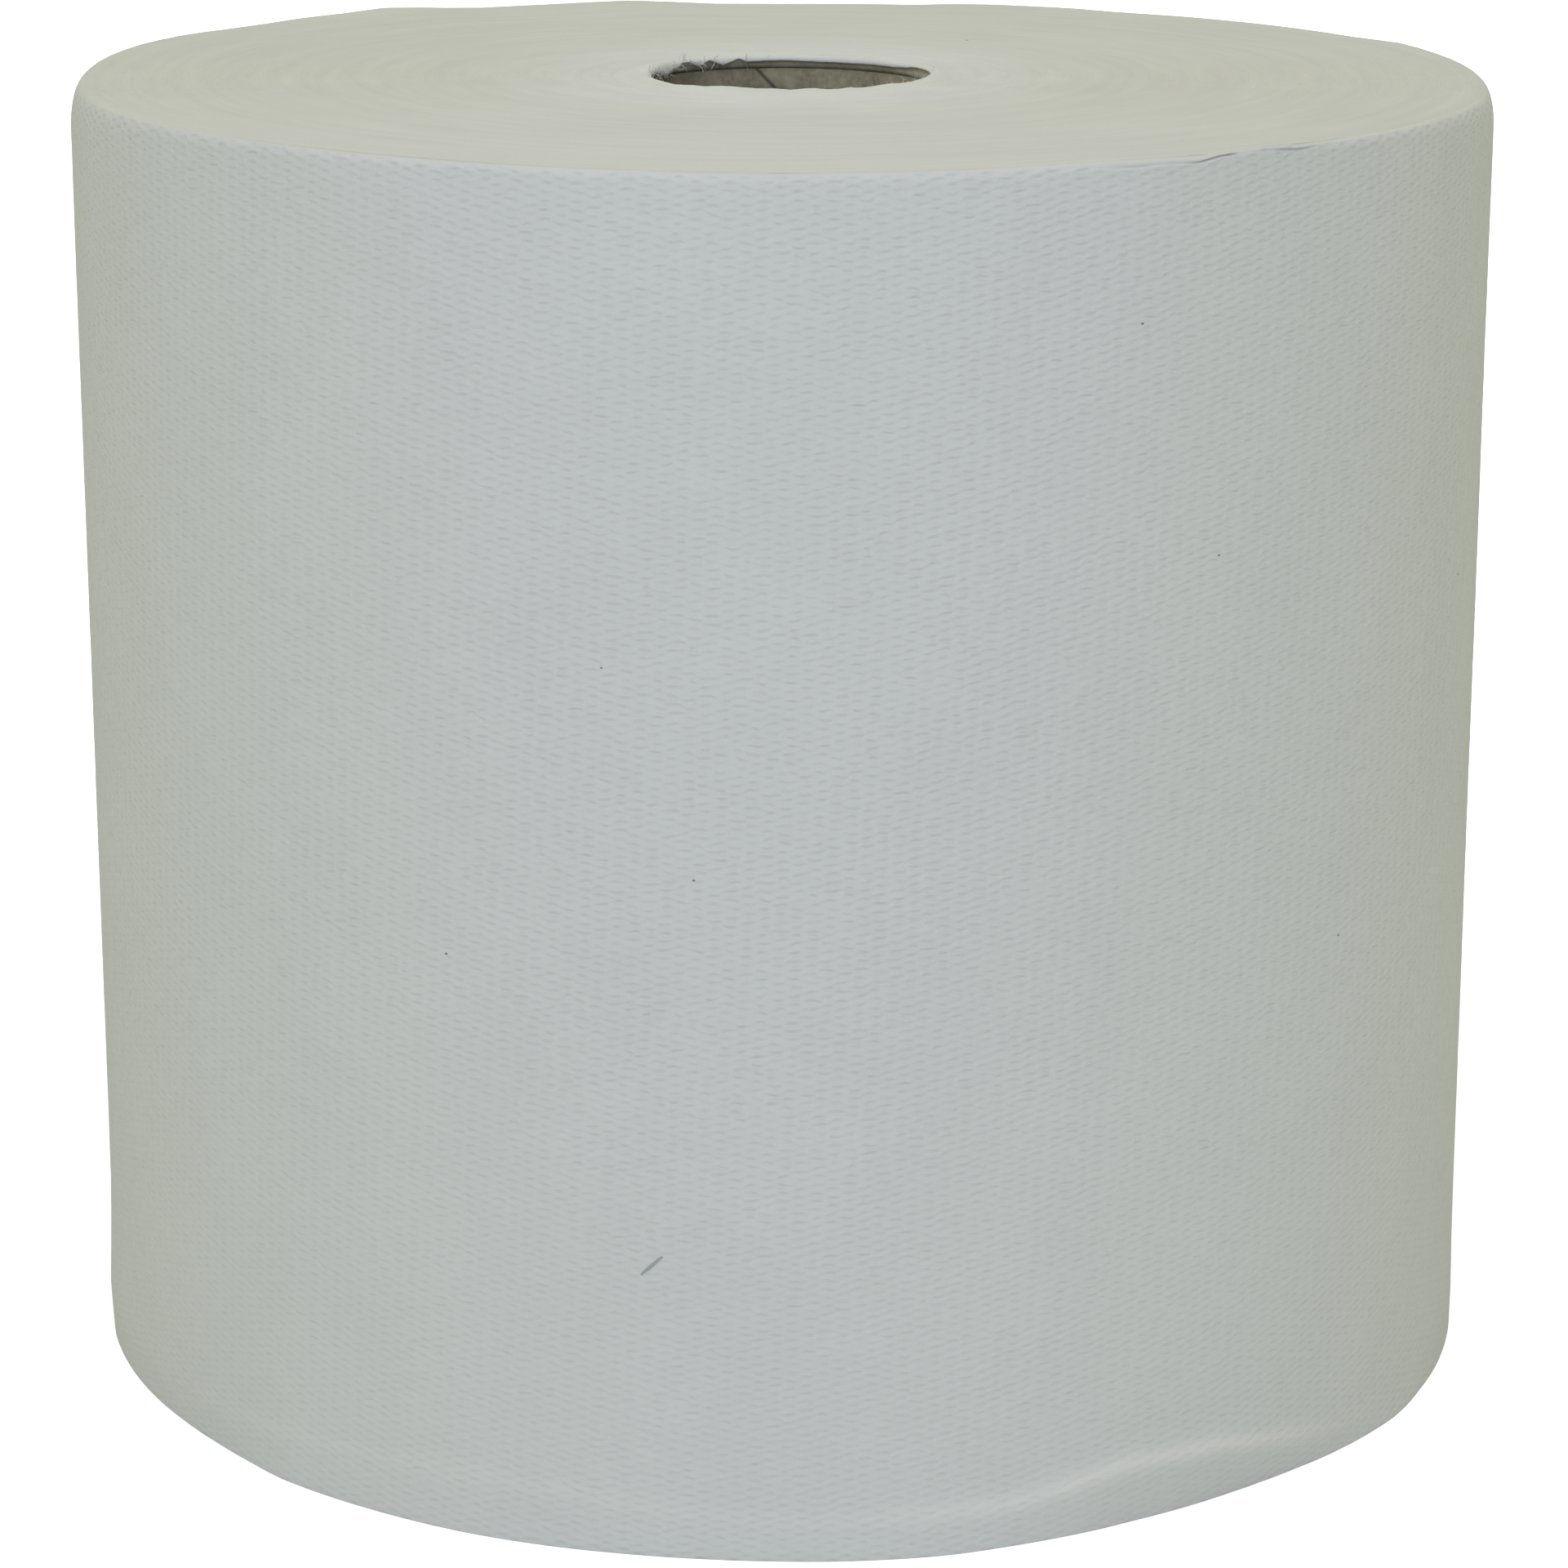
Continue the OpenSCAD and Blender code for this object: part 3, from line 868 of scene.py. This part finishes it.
def makeStrayFibre():
    centre = [wallPoint(a, h, 0.12 * mm) for a, h in marks["fibre"]]
    sides = 6
    half = marks["fibreThickness"] * mm
    builder = bmesh.new()
    rings = []
    for k, point in enumerate(centre):
        along = (centre[min(k + 1, len(centre) - 1)] - centre[max(k - 1, 0)]).normalized()
        out = Vector((point.x, point.y, 0)).normalized()
        side = along.cross(out).normalized()
        wide = half * (0.55 if k in (0, len(centre) - 1) else 1.0)
        rings.append([builder.verts.new(point + side * wide * math.cos(a) + out * 0.5 * wide * math.sin(a))
                      for a in np.linspace(0, 2 * math.pi, sides, endpoint=False)])
    for one, two in zip(rings, rings[1:]):
        for i in range(sides):
            builder.faces.new((one[i], one[(i + 1) % sides], two[(i + 1) % sides], two[i]))
    builder.faces.new(rings[0][::-1])
    builder.faces.new(rings[-1])
    bmesh.ops.recalc_face_normals(builder, faces=builder.faces)
    mesh = bpy.data.meshes.new("stray_fibre")
    builder.to_mesh(mesh)
    builder.free()
    mesh.materials.append(makeMarkMaterial("greyFibre", marks["fibreColor"]))
    return finishPiece(addObject("stray_fibre", mesh), "web")


makeSpecks()
makeStrayFibre()
print("specks and stray fibre made")


# The core: its plies are wound at a slant, and the seam of the inner one shows as a dark line

core = {
    "columns": 120,
    "rows": 48,
    "seamRise": 259 * mm,  # height that the seam climbs in one turn
    "seamWidth": 0.9 * mm,
    "seamDepth": 0.35 * mm,
    "seamStart": 190.3,  # angle of the seam at the upper end, in degrees
    "bevel": 0.6 * mm,
    "wall": 4 * mm,
    "light": (0.365, 0.338, 0.236, 1),
    "dark": (0.150, 0.139, 0.099, 1),
    "seam": (0.09, 0.077, 0.065, 1),
    "paintedShadeLeft": 0.52,  # painted shade: the board's colour is darkened to this share at the left
}


def makeCoreMaterial():
    material, tree, shader = startMaterial("coreBoard", 0.88, 0.0)
    place = addNode(tree, "ShaderNodeTexCoord").outputs["Object"]
    board = useGroup(tree, fibreMottle, Vector=place, Fibre_scale=620.0, Cloud_scale=90.0,
                     Dark=core["dark"], Light=core["light"])
    seam = addNode(tree, "ShaderNodeAttribute", {"attribute_name": "seamMask"}).outputs["Fac"]
    # painted shade: the colour falls towards the left of the hole
    dim = mapRange(tree, separate(tree, place)[0], -36 * mm, -4 * mm, core["paintedShadeLeft"])
    dimmed = shaded(tree, board.outputs["Color"], dim)
    bump = addNode(tree, "ShaderNodeBump", Height=board.outputs["Height"], Distance=0.14 * mm)
    plug(tree, shader.inputs["Base Color"], mixColors(tree, seam, dimmed, core["seam"]))
    plug(tree, shader.inputs["Normal"], bump.outputs[0])
    return material


def makeCore():
    inner = coreOuter - core["wall"]
    low, high = coreLow.z, coreHigh.z
    seamHalf = core["seamWidth"] / 2 / inner
    plain = np.linspace(seamHalf * 2.5, 2 * math.pi - seamHalf * 2.5, core["columns"])
    turn = np.concatenate([[-seamHalf * 1.3, -seamHalf * 0.6, 0.0, seamHalf * 0.6, seamHalf * 1.3], plain])
    seam = np.concatenate([[0.35, 0.9, 1.0, 0.9, 0.35], np.zeros(len(plain))])
    heights = np.linspace(high, low, core["rows"])
    profile = [(inner, h, 1.0) for h in heights]
    profile += [(inner + 1.3 * mm, low, 0), (inner + 2.6 * mm, low, 0), (coreOuter - core["bevel"], low, 0)]
    # the columns turn with the seam, so the outer wall has as many rows as the inner one
    profile += [(coreOuter, h, 0) for h in np.linspace(low + core["bevel"], high - core["bevel"], core["rows"])]
    profile += [(coreOuter - core["bevel"], high, 0), (inner + 2.6 * mm, high, 0), (inner + 1.3 * mm, high, 0)]
    points, mask = [], []
    for radius, z, isInner in profile:
        base = math.radians(core["seamStart"]) + (z - high) / core["seamRise"] * 2 * math.pi
        for angle, share in zip(turn, seam):
            groove = core["seamDepth"] * share * isInner
            points.append(onWall(base + angle, radius + groove, z))
            mask.append(share * isInner)
    wide, tall = len(turn), len(profile)
    faces = []
    for j in range(tall):
        for i in range(wide):
            k, m = (i + 1) % wide, (j + 1) % tall
            faces.append((j * wide + i, j * wide + k, m * wide + k, m * wide + i))
    mesh = bpy.data.meshes.new("board_core")
    mesh.from_pydata(points, [], faces)
    addValues(mesh, "seamMask", mask)
    mesh.polygons.foreach_set("use_smooth", [j < core["rows"] - 1 for j in range(tall) for i in range(wide)])
    mesh.materials.append(makeCoreMaterial())
    mesh.update()
    return finishPiece(addObject("board_core", mesh), "core", "core")


boardCore = makeCore()
print("core made,", len(boardCore.data.polygons), "faces")


# Floor, light and camera

studio = {
    "cameraAway": 1.2847,
    "cameraHigh": 0.4953,
    "cameraDown": 15.2,
    "focalPixels": 5952.0,
    "frameWide": 1920.0,
    "middleX": 957.1,
    "sensor": 36.0,
    "worldColor": (0.97, 1.0, 0.76),
    "worldStrength": 0.62,
    "floorHalf": 9.0,
    "floorLight": (0.94, 0.94, 0.89, 1),  # warm where it lights the foot
    "floorSeen": (0.92, 0.92, 0.99, 1),  # white where it is seen
    "glow": (1, 1, 1.06, 1),
    "glowReach": (0.25, 0.75),  # the glow grows to its full strength between these distances
    "glowNear": 0.48,
}
lamps = [  # name, place, aim, size, power, colour
    ("frontLamp", (-0.3, -2.0, 1.3), (0, 0, 0.22), 1.2, 13.2, (0.375, 0.415, 1.0)),
    ("lowFrontLamp", (0.1, -2.3, 0.2), (0, 0, 0.03), 1.0, 11.6, (0.60, 0.67, 0.93)),
    ("leftLamp", (-1.7, -1.4, 0.6), (0, 0, 0.15), 1.0, 1.8, (0.95, 1.0, 0.42)),
    ("topLamp", (0.0, -0.4, 1.8), (0, -0.05, 0.3), 1.4, 10.5, (1.0, 0.93, 0.905)),
]


def makeFloor():
    size = studio["floorHalf"]
    mesh = bpy.data.meshes.new("floor")
    mesh.from_pydata([(-size, -size, 0), (size, -size, 0), (size, size, 0), (-size, size, 0)], [], [(0, 1, 2, 3)])
    material = bpy.data.materials.new("paleFloor")
    material.use_nodes = True
    tree = material.node_tree
    tree.nodes.clear()
    seen = addNode(tree, "ShaderNodeLightPath").outputs["Is Camera Ray"]
    tone = mixColors(tree, seen, studio["floorLight"], studio["floorSeen"])
    plain = addNode(tree, "ShaderNodeBsdfDiffuse", Color=tone)
    away = vectorMaths(tree, "LENGTH", addNode(tree, "ShaderNodeTexCoord").outputs["Object"])
    far = mapRange(tree, away, *studio["glowReach"], studio["glowNear"], 1.0, "SMOOTHSTEP")
    glow = addNode(tree, "ShaderNodeEmission", Color=studio["glow"], Strength=maths(tree, "MULTIPLY", far, seen))
    both = tree.nodes.new("ShaderNodeAddShader")
    tree.links.new(plain.outputs[0], both.inputs[0])
    tree.links.new(glow.outputs[0], both.inputs[1])
    output = tree.nodes.new("ShaderNodeOutputMaterial")
    tree.links.new(both.outputs[0], output.inputs[0])
    mesh.materials.append(material)
    addObject("floor", mesh)


def makeWorld():
    world = bpy.data.worlds.new("studioWorld")
    bpy.context.scene.world = world
    world.use_nodes = True
    tree = world.node_tree
    tree.nodes.clear()
    path = tree.nodes.new("ShaderNodeLightPath").outputs
    direct = maths(tree, "MAXIMUM", path["Is Camera Ray"], path["Is Glossy Ray"])
    seen = maths(tree, "MAXIMUM", direct, path["Is Transmission Ray"])
    ambient = addNode(tree, "ShaderNodeBackground", Color=(*studio["worldColor"], 1),
                      Strength=studio["worldStrength"])
    white = addNode(tree, "ShaderNodeBackground", Color=(1, 1, 1, 1))
    mix = tree.nodes.new("ShaderNodeMixShader")
    tree.links.new(seen, mix.inputs[0])
    tree.links.new(ambient.outputs[0], mix.inputs[1])
    tree.links.new(white.outputs[0], mix.inputs[2])
    output = tree.nodes.new("ShaderNodeOutputWorld")
    tree.links.new(mix.outputs[0], output.inputs[0])


def addLamp(name, place, aim, size, power, color):
    data = bpy.data.lights.new(name, "AREA")
    data.shape = "SQUARE"
    data.size = size
    data.energy = power
    data.color = color
    lamp = addObject(name, data)
    lamp.location = place
    lamp.rotation_euler = (Vector(aim) - Vector(place)).to_track_quat("-Z", "Y").to_euler()


def makeCamera():
    data = bpy.data.cameras.new("camera")
    data.sensor_width = studio["sensor"]
    data.lens = studio["sensor"] * studio["focalPixels"] / studio["frameWide"]
    data.shift_x = (studio["frameWide"] / 2 - studio["middleX"]) / studio["frameWide"]
    data.clip_end = 50
    camera = addObject("camera", data)
    camera.location = (0, -studio["cameraAway"], studio["cameraHigh"])
    camera.rotation_euler = (math.radians(90 - studio["cameraDown"]), 0, 0)
    bpy.context.scene.camera = camera


makeFloor()
makeWorld()
for lamp in lamps:
    addLamp(*lamp)
makeCamera()
bpy.context.scene.view_settings.view_transform = "Standard"
print("floor, light and camera made")
